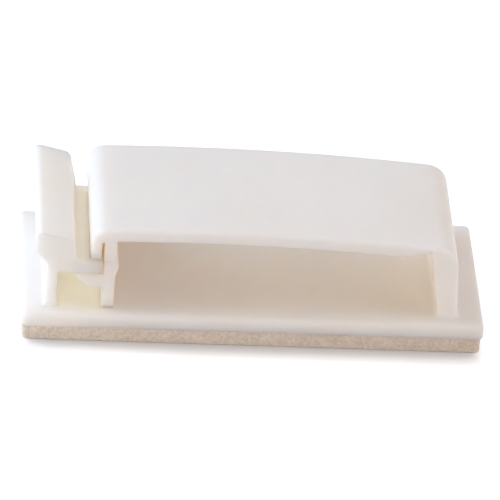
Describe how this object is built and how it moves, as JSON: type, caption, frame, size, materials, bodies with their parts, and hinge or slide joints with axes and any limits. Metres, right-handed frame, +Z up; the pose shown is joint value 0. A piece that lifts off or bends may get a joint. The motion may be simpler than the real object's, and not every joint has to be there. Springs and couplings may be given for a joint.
{
  "type": "adhesive cable clip",
  "caption": "Low adhesive-backed cable clip: a long strap over a flat base, with a living hinge at one end and a releasable latch at the other, on a foam pad.",
  "frame": {"origin": "middle of the pad's adhesive underside", "axes": "+X along the clip from the latch to the hinge, +Y across it, +Z up from the surface it is stuck to"},
  "size_m": [0.04, 0.0162, 0.0109],
  "materials": {
    "nylon": "natural nylon, slightly translucent, satin",
    "foam": "foam tape, speckled beige"
  },
  "bodies": {
    "root": {"clip_body": "nylon", "foam_pad": "foam"}
  },
  "joints": []
}
